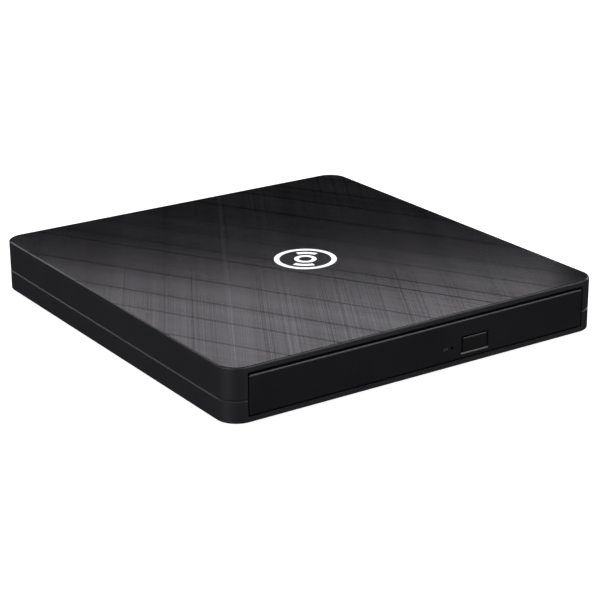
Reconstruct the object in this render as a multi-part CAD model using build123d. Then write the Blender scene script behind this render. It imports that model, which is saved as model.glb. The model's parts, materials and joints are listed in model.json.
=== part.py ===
from build123d import *
import os

# External slim optical drive: a two-shell case round a tray-loading disc drive.
# Millimetres, +Z up, front (tray) face towards -Y, origin at the middle of the footprint, on the
# surface that the feet stand on. X runs to the right as seen from the front.

# ---- case ----
CASE_W, CASE_D, CASE_H = 142.0, 150.0, 17.6
CASE_R = 7.0  # plan radius of the four upright corners
FOOT_PROUD = 0.8  # how far the feet stand out of the underside
WALL = 1.8
CASE_BOTTOM = FOOT_PROUD
CASE_TOP = CASE_BOTTOM + CASE_H
FLOOR_TOP = CASE_BOTTOM + WALL
ROOF_UNDER = CASE_TOP - WALL
PARTING = CASE_BOTTOM + 7.25  # height of the line where the two shells meet
PARTING_GAP = 0.1
TONGUE_IN, TONGUE_H = 1.05, 0.85  # inset and height of the locating tongue
FRONT = -CASE_D / 2
REAR = CASE_D / 2
CASE_SCREWS = [(x, y) for x in (-66.6, 66.6) for y in (-60.0, 60.0)]
SCREW_SEAT = 3.2
FOOT_R, FOOT_RECESS = 5.3, 0.6
FEET = {
    "foot_front_left": (-63.2, -60.0),
    "foot_front_right": (63.2, -60.0),
    "foot_rear_left": (-63.2, 60.0),
    "foot_rear_right": (63.2, 60.0),
}

# ---- bezel, eject button, indicator ----
BEZEL_W, BEZEL_H, BEZEL_T = 128.0, 12.7, 3.3
BEZEL_Z = CASE_BOTTOM + 2.2
BEZEL_FACE = FRONT - 0.3
BEZEL_BACK = BEZEL_FACE + BEZEL_T
OPENING_HALF = 64.45
BUTTON_X, BUTTON_Z = 19.6, 7.4
BUTTON_W, BUTTON_H = 9.7, 4.7
BUTTON_HOLE_W, BUTTON_HOLE_H = 10.5, 5.3
LED_X, LED_W, LED_H = 7.9, 2.0, 0.9
EJECT_HOLE_X, EJECT_HOLE_R = 10.4, 0.5

# ---- drive chassis ----
SHEET = 0.6
DRIVE_HALF = 64.0
DRIVE_Z = BEZEL_Z
DRIVE_TOP = DRIVE_Z + BEZEL_H
DRIVE_FRONT, DRIVE_REAR = -71.5, 54.3
PAN_HALF = 63.3
PAN_FLOOR = DRIVE_Z + SHEET
PAN_WALL_TOP = 14.9
LID_UNDER = DRIVE_TOP - SHEET
LID_SCREWS = [(x, y) for x in (-59.0, 59.0) for y in (-67.5, 49.5)]

# ---- runners: guide strip on the chassis, steel rail, groove in the tray ----
GUIDE_OUT, GUIDE_LIP = PAN_HALF - SHEET, 60.9
GUIDE_Z0, GUIDE_Z1 = 4.6, 8.6
RAIL_FRONT, RAIL_REAR = -69.0, 47.0
RAIL_IN, RAIL_OUT = 59.6, 62.0
RAIL_FLANGE = 0.6
RAIL_Z0, RAIL_Z1 = 5.3, 7.9
RAIL_WEB_Z0, RAIL_WEB_Z1 = 6.2, 7.0
RUN_GAP = 0.2

# ---- tray ----
TRAY_HALF, TRAY_REAR = 61.5, 52.5
DECK_Z, RECESS_Z, RIM_Z = 9.6, 10.8, 13.2
RECESS_R = 60.6
BEAM_IN, BEAM_OUT, BEAM_Z = 57.5, 60.7, 4.4

# ---- spindle, and the frame that the pickup runs in, turned about the spindle ----
SPINDLE_Y = -9.0
TRAVERSE_TURN = 225.0
DISC_Z = 11.7  # underside of a seated disc
HUB_R = 7.45
ROTOR_R = 12.0
SHAFT_R = 1.0
PLATE_Z0, PLATE_Z1 = 7.6, 8.4
ROD_R, ROD_Z = 1.0, 5.8
MAIN_ROD_V, SLAVE_ROD_V = 18.0, -13.5
RODS = {MAIN_ROD_V: 5.0, SLAVE_ROD_V: 12.0}  # inner end of each
ROD_OUT = 65.4
SCREW_V, SCREW_Z, LEAD_R = 24.5, 6.8, 1.1
SCREW_IN, SCREW_OUT = 7.0, 50.9
LENS_U = 23.5
DAMPERS = [(-23.0, 0.0), (30.0, -20.5), (55.5, 22.5)]
CLAW_TURNS = (30.0, 150.0, 270.0)

# ---- latch, pusher, boards ----
LATCH_X, LATCH_Y = 44.0, -50.0
LATCH_PIN = (47.5, -62.0)
PUSHER_X, PUSHER_Z = -48.0, 6.9
BRIDGE_Z0, BRIDGE_Z1 = 4.6, 5.6
BRIDGE_SCREWS = [(-30.0, 69.0), (46.0, 69.0)]
USB_X = -12.0
USB_Z = BRIDGE_Z1 + 1.58
BOARD_Z0, BOARD_Z1 = 7.4, 8.4
BOARD_POSTS = [(-36.0, 38.0), (51.0, 19.0), (51.0, 38.0)]
FLEX_X0, FLEX_X1 = 24.0, 38.0
FLEX_T = 0.15
FLEX_LOW, FLEX_HIGH = 3.65, 5.60
FLEX_BEND_Y = -28.0


def block(x0, x1, y0, y1, z0, z1):
    """A box given by its limits."""
    return Pos((x0 + x1) / 2, (y0 + y1) / 2, (z0 + z1) / 2) * Box(x1 - x0, y1 - y0, z1 - z0)


def post(x, y, z0, z1, r):
    """An upright cylinder."""
    return Pos(x, y, (z0 + z1) / 2) * Cylinder(r, z1 - z0)


def bar_x(x0, x1, y, z, r):
    """A cylinder along X."""
    return Pos((x0 + x1) / 2, y, z) * Rot(0, 90, 0) * Cylinder(r, x1 - x0)


def bar_y(x, y0, y1, z, r):
    """A cylinder along Y."""
    return Pos(x, (y0 + y1) / 2, z) * Rot(90, 0, 0) * Cylinder(r, y1 - y0)


def case_plan(inset, z0, z1):
    """The case's plan outline, moved in by inset, as a solid between two heights."""
    outline = RectangleRounded(CASE_W - 2 * inset, CASE_D - 2 * inset, CASE_R - inset)
    return Pos(0, 0, z0) * extrude(outline, z1 - z0)


def mirrored(shape):
    """The same shape on the other side of the drive."""
    return mirror(shape, Plane.YZ)


def in_traverse(shape):
    """Places a shape drawn in the pickup's own frame: x outwards along its travel, spindle at 0, 0."""
    return Pos(0, SPINDLE_Y, 0) * Rot(0, 0, TRAVERSE_TURN) * shape


def top_edges(shape, z):
    return shape.edges().filter_by(lambda e: abs(e.center().Z - z) < 1e-4)


def screw(x, y, z_seat, z_tip, r, head_r, head_h, down=False):
    """A cross-head screw with its head below the seat, or above it where it points down."""
    way = -1 if down else 1
    ends = sorted((z_seat, z_tip))
    head = sorted((z_seat, z_seat - way * head_h))
    body = post(x, y, *ends, r) + post(x, y, *head, head_r)
    outer = z_seat - way * head_h
    recess = sorted((outer, outer + way * head_h * 0.6))
    arm, width = head_r * 0.62, head_r * 0.14
    body -= block(x - arm, x + arm, y - width, y + width, *recess)
    return body - block(x - width, x + width, y - arm, y + arm, *recess)


def usb_outline(grow):
    """The rounded slot of the socket's mouth, in the XZ plane, grown by a margin."""
    width, height = 8.34 + 2 * grow, 2.56 + 2 * grow
    return Plane.XZ * SlotOverall(width, height)


def usb_prism(grow, y0, y1):
    return Pos(USB_X, y1, USB_Z) * extrude(usb_outline(grow), y1 - y0)


# ---------------------------------------------------------------- case

def front_opening(z0, z1):
    return block(-OPENING_HALF, OPENING_HALF, FRONT - 1, FRONT + WALL + 0.2, z0, z1)


def top_cover():
    low = PARTING + PARTING_GAP / 2
    outer = case_plan(0, low, CASE_TOP)
    outer = fillet(top_edges(outer, CASE_TOP), 0.55)
    outer = chamfer(top_edges(outer, low), 0.2)
    shell = outer - case_plan(WALL, low, ROOF_UNDER)
    shell -= case_plan(TONGUE_IN - 0.1, low, PARTING + TONGUE_H + 0.15)
    shell -= front_opening(low - 1, ROOF_UNDER)
    for x, y in CASE_SCREWS:
        shell += post(x, y, low, ROOF_UNDER, 2.4)
        shell -= post(x, y, low, ROOF_UNDER - 2, 1.0)
    for x in (-35.0, 0.0, 35.0):
        shell += block(x - 0.6, x + 0.6, -66, 50, DRIVE_TOP + 0.1, ROOF_UNDER)
    return shell - usb_prism(0.65, REAR - WALL - 1, REAR + 1)


def bottom_cover():
    high = PARTING - PARTING_GAP / 2
    outer = case_plan(0, CASE_BOTTOM, high)
    outer = chamfer(top_edges(outer, high), 0.4)
    outer = fillet(top_edges(outer, CASE_BOTTOM), 0.4)
    shell = outer - case_plan(WALL, FLOOR_TOP, high)
    shell += case_plan(TONGUE_IN, high, PARTING + TONGUE_H) - case_plan(WALL, high, PARTING + TONGUE_H)
    shell -= front_opening(FLOOR_TOP, PARTING + 2)
    for x, y in CASE_SCREWS:
        shell += post(x, y, FLOOR_TOP, high, 2.5)
        shell -= post(x, y, CASE_BOTTOM, high, 1.1)
        shell -= post(x, y, CASE_BOTTOM, SCREW_SEAT, 1.95)
    for x, y in FEET.values():
        shell -= post(x, y, CASE_BOTTOM, CASE_BOTTOM + FOOT_RECESS, FOOT_R + 0.15)
    for x in (-46.0, 46.0):
        for y in (-55.0, 40.0):
            shell += block(x - 5, x + 5, y - 3, y + 3, FLOOR_TOP, DRIVE_Z)
    for side in (-1, 1):
        for y in (-35.0, -5.0, 25.0, 45.0):
            x0, x1 = sorted((side * (DRIVE_HALF + 0.1), side * (CASE_W / 2 - WALL)))
            shell += block(x0, x1, y - 0.6, y + 0.6, FLOOR_TOP, 7.0)
    for x, y in BRIDGE_SCREWS:
        shell += post(x, y, FLOOR_TOP, BRIDGE_Z0, 2.4)
        shell -= post(x, y, FLOOR_TOP, BRIDGE_Z0, 0.9)
    return shell - usb_prism(0.65, REAR - WALL - 1, REAR + 1)


def foot(x, y):
    pad = post(x, y, 0, CASE_BOTTOM + FOOT_RECESS, FOOT_R)
    return fillet(top_edges(pad, 0), 0.35)


def case_screws():
    return [screw(x, y, SCREW_SEAT, 13.0, 0.98, 1.85, 1.2) for x, y in CASE_SCREWS]


# ---------------------------------------------------------------- bridge board at the rear

def bridge_board():
    board = block(-34, 50, 56.5, 72.4, BRIDGE_Z0, BRIDGE_Z1)
    for x, y in BRIDGE_SCREWS:
        board -= post(x, y, BRIDGE_Z0, BRIDGE_Z1, 1.05)
    return board


def bridge_screws():
    return [screw(x, y, BRIDGE_Z1, 3.0, 0.88, 1.7, 0.9, down=True) for x, y in BRIDGE_SCREWS]


def bridge_parts():
    """Bridge controller, memory, crystal can, coil and capacitors, all standing on the board."""
    z = BRIDGE_Z1
    parts = [block(-3.5, 3.5, 61, 68, z, z + 0.9), block(6, 11, 63, 67, z, z + 1.4)]
    crystal = Pos(-9, 63, z + 0.5) * extrude(SlotOverall(5.0, 2.4), 1.0, both=True)
    parts.append(crystal & block(-12, -6, 61, 65, z, z + 1.4))
    parts.append(chamfer(block(-27, -22, 60, 65, z, z + 2.0).edges().filter_by(Axis.Z), 0.6))
    parts += [post(x, 62.5, z, z + 3.2, 1.6) for x in (-18.0, 12.8)]
    parts += [block(x, x + 1.6, 70.0, 70.8, z, z + 0.7) for x in (0.0, 3.0, 6.0, 9.0, 12.0, 15.0)]
    return parts


def usb_port():
    shell = usb_prism(0.3, 68.6, REAR - 0.4) - usb_prism(0.0, 69.4, REAR)
    return shell + block(USB_X - 3.35, USB_X + 3.35, 69.4, 73.9, USB_Z - 0.35, USB_Z + 0.35)


def sata_receptacle():
    body = block(16, 46, 55.3, 60.5, BRIDGE_Z1, 9.6)
    return body - block(17.2, 44.8, 55.3, 59.0, 6.6, 8.8)


# ---------------------------------------------------------------- drive chassis

def drive_pan():
    pan = block(-PAN_HALF, PAN_HALF, DRIVE_FRONT, DRIVE_REAR, DRIVE_Z, PAN_WALL_TOP)
    pan = fillet(pan.edges().filter_by(Axis.Z).group_by(Axis.Y)[-1], 1.2)
    inner = block(
        -PAN_HALF + SHEET, PAN_HALF - SHEET, DRIVE_FRONT - 1, DRIVE_REAR - SHEET, PAN_FLOOR, PAN_WALL_TOP + 1
    )
    pan -= fillet(inner.edges().filter_by(Axis.Z).group_by(Axis.Y)[-1], 0.6)
    for x0, x1, y in ((-50, -8, -20), (-50, -8, 30), (-6, 18, 44)):
        bead = Pos((x0 + x1) / 2, y) * SlotOverall(x1 - x0, 5)
        pan += Pos(0, 0, PAN_FLOOR) * extrude(bead, 0.25)
        pan -= Pos(0, 0, DRIVE_Z) * extrude(bead, 0.25)
    for x, y in LID_SCREWS:
        x0, x1 = sorted((x * 0.945, (PAN_HALF - SHEET) * (1 if x > 0 else -1)))
        y0, y1 = (DRIVE_FRONT, y + 3) if y < 0 else (y - 3, DRIVE_REAR - SHEET)
        pan += block(x0, x1, y0, y1, PAN_WALL_TOP - SHEET, PAN_WALL_TOP)
        pan -= post(x, y, PAN_WALL_TOP - SHEET, PAN_WALL_TOP, 0.95)
    pan -= block(15.4, 46.6, DRIVE_REAR - 1, DRIVE_REAR + 1, 5.9, 9.5)
    return pan - post(*LATCH_PIN, DRIVE_Z, PAN_FLOOR, 0.8)


def drive_lid():
    depth = DRIVE_REAR + SHEET + 0.1 - DRIVE_FRONT
    outer = block(-DRIVE_HALF, DRIVE_HALF, DRIVE_FRONT, DRIVE_FRONT + depth, 11.0, DRIVE_TOP)
    outer = fillet(outer.edges().filter_by(Axis.Z).group_by(Axis.Y)[-1], 1.8)
    outer = fillet(top_edges(outer, DRIVE_TOP).filter_by(Axis.Y), 0.4)
    inner = block(
        -DRIVE_HALF + SHEET, DRIVE_HALF - SHEET, DRIVE_FRONT - 1, DRIVE_FRONT + depth - SHEET, 10.0, LID_UNDER
    )
    lid = outer - fillet(inner.edges().filter_by(Axis.Z).group_by(Axis.Y)[-1], 1.2)
    for x, y in LID_SCREWS:
        lid -= post(x, y, LID_UNDER, DRIVE_TOP, 1.05)
    return lid


def lid_screws():
    return [screw(x, y, DRIVE_TOP, PAN_WALL_TOP - SHEET, 0.93, 1.8, 0.5, down=True) for x, y in LID_SCREWS]


def guide_strip():
    """C-section strip, right-hand side, that the rail slides in."""
    strip = block(GUIDE_LIP, GUIDE_OUT, RAIL_FRONT - 0.5, 50, GUIDE_Z0, GUIDE_Z1)
    strip -= block(GUIDE_LIP + 0.4, RAIL_OUT + 0.1, -80, 60, RAIL_Z0 - RUN_GAP, RAIL_Z1 + RUN_GAP)
    web_low, web_high = RAIL_WEB_Z0 - RUN_GAP, RAIL_WEB_Z1 + RUN_GAP
    return strip - block(GUIDE_LIP - 1, GUIDE_LIP + 0.5, -80, 60, web_low, web_high)


def rail():
    """I-section steel rail, right-hand side: one flange in the guide strip, one in the tray."""
    inner = block(RAIL_IN, RAIL_IN + RAIL_FLANGE, RAIL_FRONT, RAIL_REAR, RAIL_Z0, RAIL_Z1)
    outer = block(RAIL_OUT - RAIL_FLANGE, RAIL_OUT, RAIL_FRONT, RAIL_REAR, RAIL_Z0, RAIL_Z1)
    web = block(RAIL_IN, RAIL_OUT, RAIL_FRONT, RAIL_REAR, RAIL_WEB_Z0, RAIL_WEB_Z1)
    return inner + web + outer


def latch_pin():
    pin = post(*LATCH_PIN, DRIVE_Z, PAN_FLOOR, 0.8) + post(*LATCH_PIN, PAN_FLOOR, 5.5, 1.0)
    return chamfer(top_edges(pin, 5.5), 0.2)


def interface_board():
    return block(14, 50, 43, 53.4, 5.0, 6.0) + block(FLEX_X0 - 1, FLEX_X1 + 1, 50, 53, PAN_FLOOR + 0.02, 5.0)


def sata_plug():
    return block(17, 45, 49.0, 53.3, 6.0, 9.3) + block(18, 44, 53.3, 58.4, 7.2, 8.2)


def flex_cable():
    """Flat cable: along the pan floor, back over in one bend, and up to the tray's board."""
    x0, x1 = FLEX_X0, FLEX_X1
    low = block(x0, x1, FLEX_BEND_Y, 50, FLEX_LOW, FLEX_LOW + FLEX_T)
    high = block(x0, x1, FLEX_BEND_Y, 38, FLEX_HIGH, FLEX_HIGH + FLEX_T)
    radius = (FLEX_HIGH + FLEX_T - FLEX_LOW) / 2
    middle = FLEX_LOW + radius
    ring = bar_x(x0, x1, FLEX_BEND_Y, middle, radius) - bar_x(x0, x1, FLEX_BEND_Y, middle, radius - FLEX_T)
    return low + high + (ring & block(x0, x1, FLEX_BEND_Y - 3, FLEX_BEND_Y, 3, 6))


# ---------------------------------------------------------------- tray

def traverse_window(shrink, z0, z1):
    """The opening in the tray's floor round the spindle and along the pickup's travel."""
    shape = post(0, 0, z0, z1, 17.5 - shrink) + block(0, 70, -14 + shrink, 14 - shrink, z0, z1)
    return in_traverse(shape & post(0, 0, z0, z1, 60.0 - shrink))


def tray_layer(z0, z1):
    """One level of the tray's slab, with the pockets that the bezel's tabs and the pickup's end need."""
    slab = block(-TRAY_HALF, TRAY_HALF, BEZEL_BACK, TRAY_REAR, z0, z1)
    slab = fillet(slab.edges().filter_by(Axis.Z).group_by(Axis.Y)[-1], 4)
    for side in (-1, 1):
        x0, x1 = sorted((side * 37, side * 43))
        slab -= block(x0 - 0.1, x1 + 0.1, BEZEL_BACK - 1, BEZEL_BACK + 2.2, 9.9, 11.6)
    return slab - in_traverse(block(40, 64.5, -10, 10, DECK_Z - 1, 11.4))


def tray_rim():
    """The raised rim in front of the disc and behind it."""
    rim = tray_layer(RECESS_Z, RIM_Z)
    rim -= post(0, SPINDLE_Y, RECESS_Z, RIM_Z + 1, RECESS_R)
    rim -= Pos(0, SPINDLE_Y, RIM_Z - 0.3) * Cone(RECESS_R, RECESS_R + 0.6, 0.61)
    for side in (-1, 1):
        x0, x1 = sorted((side * 57, side * 62))
        rim -= block(x0, x1, SPINDLE_Y - 22, SPINDLE_Y + 22, RECESS_Z, RIM_Z + 1)
    return rim


def tray():
    body = tray_layer(DECK_Z, RECESS_Z)
    for side in (-1, 1):
        x0, x1 = sorted((side * BEAM_IN, side * BEAM_OUT))
        beam = block(x0, x1, BEZEL_BACK + 1, TRAY_REAR - 4, BEAM_Z, DECK_Z)
        x0, x1 = sorted((side * (RAIL_IN - 0.1), side * (RAIL_IN + RAIL_FLANGE + 0.1)))
        beam -= block(x0, x1, -80, 60, RAIL_Z0 - RUN_GAP, RAIL_Z1 + RUN_GAP)
        x0, x1 = sorted((side * (RAIL_IN + RAIL_FLANGE), side * (BEAM_OUT + 1)))
        beam -= block(x0, x1, -80, 60, RAIL_WEB_Z0 - RUN_GAP, RAIL_WEB_Z1 + RUN_GAP)
        body += beam
    front_wall = block(-TRAY_HALF, TRAY_HALF, BEZEL_BACK, BEZEL_BACK + 2, 4.2, DECK_Z)
    body += front_wall
    body -= block(BUTTON_X - 6.3, BUTTON_X + 6.3, BEZEL_BACK - 1, BEZEL_BACK + 3, 4.4, 10.6)
    body -= block(LED_X - 1.2, LED_X + 1.2, BEZEL_BACK - 1, BEZEL_BACK + 3, BUTTON_Z - 0.8, BUTTON_Z + 0.8)
    body -= bar_y(EJECT_HOLE_X, BEZEL_BACK - 1, BEZEL_BACK + 3, BUTTON_Z, 0.8)
    body -= traverse_window(0, DECK_Z - 1, RECESS_Z + 1)
    for u, v in DAMPERS:
        body -= in_traverse(post(u, v, DECK_Z - 1, RECESS_Z - 0.3, 1.0))
    for x, y in BOARD_POSTS:
        body += post(x, y, BOARD_Z1, DECK_Z, 1.9)
        body -= post(x, y, BOARD_Z0, RECESS_Z - 0.3, 0.85)
    body += post(LATCH_X, LATCH_Y, 5.7, DECK_Z, 1.5) + post(LATCH_X, LATCH_Y, 4.3, 5.7, 0.9)
    housing = block(PUSHER_X - 3, PUSHER_X + 3, 26, 52.3, 4.5, DECK_Z)
    housing -= bar_y(PUSHER_X, 27.5, 51, PUSHER_Z, 1.95)
    return body + housing - bar_y(PUSHER_X, 50, 53, PUSHER_Z, 1.2)


def tray_bezel():
    plate = block(-BEZEL_W / 2, BEZEL_W / 2, BEZEL_FACE, BEZEL_BACK, BEZEL_Z, BEZEL_Z + BEZEL_H)
    plate = fillet(plate.edges().filter_by(Axis.Y), 0.5)
    plate = fillet(plate.edges().group_by(Axis.Y)[0], 0.45)
    half_w, half_h = BUTTON_HOLE_W / 2, BUTTON_HOLE_H / 2
    hole = block(
        BUTTON_X - half_w, BUTTON_X + half_w, BEZEL_FACE - 1, BEZEL_BACK + 1,
        BUTTON_Z - half_h, BUTTON_Z + half_h
    )
    plate -= fillet(hole.edges().filter_by(Axis.Y), 0.4)
    rim = Plane.XZ * Rectangle(BUTTON_HOLE_W + 0.7, BUTTON_HOLE_H + 0.7)
    rim = Pos(BUTTON_X, BEZEL_FACE, BUTTON_Z) * extrude(rim, -0.35, taper=45)
    plate -= rim
    plate -= block(
        LED_X - LED_W / 2 - 0.02, LED_X + LED_W / 2 + 0.02, BEZEL_FACE - 1, BEZEL_BACK + 1,
        BUTTON_Z - LED_H / 2 - 0.02, BUTTON_Z + LED_H / 2 + 0.02
    )
    plate -= bar_y(EJECT_HOLE_X, BEZEL_FACE - 1, BEZEL_BACK + 1, BUTTON_Z, EJECT_HOLE_R)
    plate -= block(
        BUTTON_X - 6.2, BUTTON_X + 6.2, BEZEL_BACK - 0.9, BEZEL_BACK + 1, BUTTON_Z - 3.1, BUTTON_Z + 3.1
    )
    for side in (-1, 1):
        x0, x1 = sorted((side * 37, side * 43))
        plate += block(x0, x1, BEZEL_BACK, BEZEL_BACK + 2, 10.0, 11.5)
    return plate


def eject_button():
    half_w, half_h = BUTTON_W / 2, BUTTON_H / 2
    cap = block(
        BUTTON_X - half_w, BUTTON_X + half_w, BEZEL_FACE + 0.05, BEZEL_BACK - 0.7,
        BUTTON_Z - half_h, BUTTON_Z + half_h
    )
    cap = fillet(cap.edges().filter_by(Axis.Y), 0.4)
    cap = fillet(cap.edges().group_by(Axis.Y)[0], 0.35)
    flange = block(
        BUTTON_X - 6.0, BUTTON_X + 6.0, BEZEL_BACK - 0.8, BEZEL_BACK + 0.1, BUTTON_Z - 2.9, BUTTON_Z + 2.9
    )
    return cap + flange + bar_y(BUTTON_X, BEZEL_BACK, -69.55, BUTTON_Z, 1.0)


def led_lens():
    return block(
        LED_X - LED_W / 2, LED_X + LED_W / 2, BEZEL_FACE + 0.02, -69.3,
        BUTTON_Z - LED_H / 2, BUTTON_Z + LED_H / 2
    )


def front_board():
    return block(3, 34, -69.2, -58, 8.4, 9.3)


def front_board_parts():
    """Eject switch with its nub, the status lamp, and two small resistors."""
    switch = block(BUTTON_X - 3, BUTTON_X + 3, -67.9, -64.4, 5.9, 8.4)
    switch += bar_y(BUTTON_X, -68.65, -67.9, BUTTON_Z, 0.9)
    lamp = block(LED_X - 0.8, LED_X + 0.8, -69.2, -68.0, 6.9, 8.4)
    resistors = [block(x, x + 1.6, -62, -61.2, 7.9, 8.4) for x in (8.0, 12.0)]
    return [switch, lamp, *resistors]


def front_flex():
    return block(24.5, 31.5, -58, 17.5, 9.35, 9.5) + block(24.5, 31.5, -59.5, -56, 9.3, 9.5)


def tray_board():
    board = block(-42, 55, 15, 42, BOARD_Z0, BOARD_Z1)
    board = fillet(board.edges().filter_by(Axis.Z), 1.5)
    for x, y in BOARD_POSTS:
        board -= post(x, y, BOARD_Z0, BOARD_Z1, 1.0)
    return board


def tray_board_parts():
    """Chips below the board, and the connectors of its three flat cables."""
    z = BOARD_Z0
    parts = [block(-14, 0, 22, 36, z - 1.2, z), block(-34, -26, 18, 26, z - 0.9, z)]
    parts += [block(4, 10, 20, 25, z - 0.8, z), block(-34, -29, 30, 35, z - 1.0, z)]
    parts.append(block(FLEX_X0 - 1, FLEX_X1 + 1, 38, 41, 5.4, z))
    parts.append(block(24, 32, 17.5, 20.5, BOARD_Z1, BOARD_Z1 + 1.1))
    parts += [block(x, x + 1.6, 39, 39.8, z - 0.6, z) for x in (-24.0, -20.0, -16.0, -12.0, -8.0, -4.0)]
    parts += [block(x, x + 1.0, 17, 18.8, z - 0.5, z) for x in (-12.0, -9.0, -6.0, -3.0, 14.0, 17.0)]
    return parts


# ---------------------------------------------------------------- pickup mechanism, in its own frame

def traverse_frame():
    plate = post(0, 0, PLATE_Z0, PLATE_Z1, 20) + block(0, 65.4, -18, 21.5, PLATE_Z0, PLATE_Z1)
    for u, v in DAMPERS:
        plate += post(u, v, PLATE_Z0, PLATE_Z1, 4.6)
    plate += block(SCREW_IN, SCREW_IN + 1, 21.4, 27, 5.2, PLATE_Z1)
    plate += block(SCREW_OUT - 1, SCREW_OUT, 21.4, 27, 5.2, PLATE_Z1)
    for v, inner in RODS.items():
        plate += block(inner, inner + 1.6, v - 1.5, v + 1.5, 4.4, PLATE_Z0)
        plate += block(ROD_OUT - 1.4, ROD_OUT, v - 1.5, v + 1.5, 4.4, PLATE_Z0)
    for u, v in ((6, 15.2), (6, -15.2), (44, 12.9), (44, -12.9)):
        plate += post(u, v, PLATE_Z1, 10.1, 1.0)
    plate -= post(0, 0, 4, 9, ROTOR_R + 0.8)
    plate -= block(0, 63.6, -11.8, 11.8, 7, 9)
    for v, inner in RODS.items():
        plate -= bar_x(inner - 1, ROD_OUT + 1, v, ROD_Z, ROD_R + 0.02)
    plate -= bar_x(SCREW_IN - 1, SCREW_OUT + 1, SCREW_V, SCREW_Z, 0.75)
    for u, v in DAMPERS:
        plate -= post(u, v, PLATE_Z0, PLATE_Z1, 2.0)
    return in_traverse(plate) & block(-57.0, 61, -69.4, 50, 4, 11)


def traverse_cover():
    cover = traverse_window(0.4, 10.1, 10.5)
    cover -= in_traverse(post(0, 0, 10, 11, 15.4))
    return cover - in_traverse(block(10, 62, -6.5, 6.5, 10, 11))


def damper_bushes():
    bushes = []
    for u, v in DAMPERS:
        bush = post(u, v, PLATE_Z1, DECK_Z, 3.0) + post(u, v, PLATE_Z0, PLATE_Z1, 1.95)
        bush += post(u, v, 6.4, PLATE_Z0, 2.5)  # small enough for the carriage to pass
        bushes.append(in_traverse(bush - post(u, v, 6, 10, 1.05)))
    return bushes


def damper_screws():
    return [in_traverse(screw(u, v, 6.4, 10.3, 0.97, 1.9, 0.9)) for u, v in DAMPERS]


def guide_rod(v):
    return in_traverse(bar_x(RODS[v] - 0.3, ROD_OUT, v, ROD_Z, ROD_R))


def lead_screw():
    return in_traverse(bar_x(SCREW_IN + 1, SCREW_OUT - 1, SCREW_V, SCREW_Z, LEAD_R) + bar_x(
        SCREW_IN, SCREW_OUT, SCREW_V, SCREW_Z, 0.7
    ))


def sled_motor():
    can = bar_x(-5.5, SCREW_IN, SCREW_V, SCREW_Z, 2.7)
    can += block(-4.0, 4.0, SCREW_V + 2.0, SCREW_V + 3.4, SCREW_Z - 1.4, SCREW_Z + 1.4)
    return in_traverse(can - bar_x(SCREW_IN - 1, SCREW_IN + 1, SCREW_V, SCREW_Z, 0.85))


def pickup_carriage():
    body = block(13.5, 29.0, -10.5, 15.0, 4.4, 7.3)
    body += block(9.5, 14.0, 13.2, 15.5, 4.4, 7.3)
    body += block(16.0, 28.5, -9.0, 9.0, 7.3, 9.9)
    body -= block(18.0, 27.5, -7.0, 7.0, 8.0, 11.0)
    for u0 in (9.5, 23.0):
        bearing = bar_x(u0, u0 + 4.5, MAIN_ROD_V, ROD_Z, 1.8) + block(u0, u0 + 4.5, 14.5, 17.5, 4.4, 7.3)
        body += bearing & block(0, 40, 10, 25, 4.0, 7.3)
    body -= bar_x(0, 40, MAIN_ROD_V, ROD_Z, ROD_R + 0.05)
    body += block(17.0, 23.0, -15.4, -10.0, 4.1, 7.3)
    body -= block(16.0, 24.0, -16.0, -12.4, ROD_Z - ROD_R - 0.05, ROD_Z + ROD_R + 0.05)
    nut = block(9.6, 13.6, 16.0, 26.4, 4.0, 4.7) + block(9.6, 13.6, 22.6, 26.4, 4.0, SCREW_Z)
    nut -= bar_x(9, 14, SCREW_V, SCREW_Z, LEAD_R + 0.05)
    return in_traverse(body + nut)


def lens_holder():
    holder = block(LENS_U - 2.6, LENS_U + 2.6, -4.5, 4.5, 8.6, 10.6)
    holder = fillet(holder.edges().filter_by(Axis.Z), 0.8)
    return in_traverse(holder - post(LENS_U, 0, 8, 11, 2.0))


def objective_lens():
    lens = post(LENS_U, 0, 9.9, 10.5, 2.0)
    dome = Pos(LENS_U, 0, 10.9 - 5.2) * Sphere(5.2)
    return in_traverse(lens + (dome & post(LENS_U, 0, 10.5, 11, 2.0)))


# ---------------------------------------------------------------- spindle

def spindle_base():
    base = post(0, 0, 6.8, PLATE_Z0, 15.0) - block(12.9, 16, -16, 16, 6, 8)
    base += post(0, 0, 4.6, 9.0, 3.4)
    return in_traverse(base - post(0, 0, 4.9, 9.0, 2.4))


def spindle_bearing():
    return Pos(0, SPINDLE_Y, 0) * (post(0, 0, 4.9, 8.9, 2.4) - post(0, 0, 4.9, 8.9, SHAFT_R + 0.03))


def spindle_stator():
    core = post(0, 0, 7.7, 9.15, 5.2)
    for k in range(9):
        tooth = block(4.5, 8.4, -0.9, 0.9, 7.9, 8.95) + block(8.2, 9.5, -2.4, 2.4, 7.7, 9.15)
        core += Rot(0, 0, 40 * k) * tooth
    core &= post(0, 0, 7, 10, 9.6)
    return Pos(0, SPINDLE_Y, 0) * (core - post(0, 0, 7, 10, 3.45))


def spindle_shaft():
    return post(0, SPINDLE_Y, 4.95, 13.0, SHAFT_R)


def rotor_cup():
    cup = post(0, 0, 7.9, 9.8, ROTOR_R) - post(0, 0, 7.9, 9.3, ROTOR_R - 0.6)
    cup = fillet(top_edges(cup, 9.8), 0.3)
    return Pos(0, SPINDLE_Y, 0) * (cup - post(0, 0, 7, 11, SHAFT_R))


def rotor_magnet():
    return Pos(0, SPINDLE_Y, 0) * (post(0, 0, 7.9, 9.3, ROTOR_R - 0.6) - post(0, 0, 7.9, 9.3, 10.0))


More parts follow.
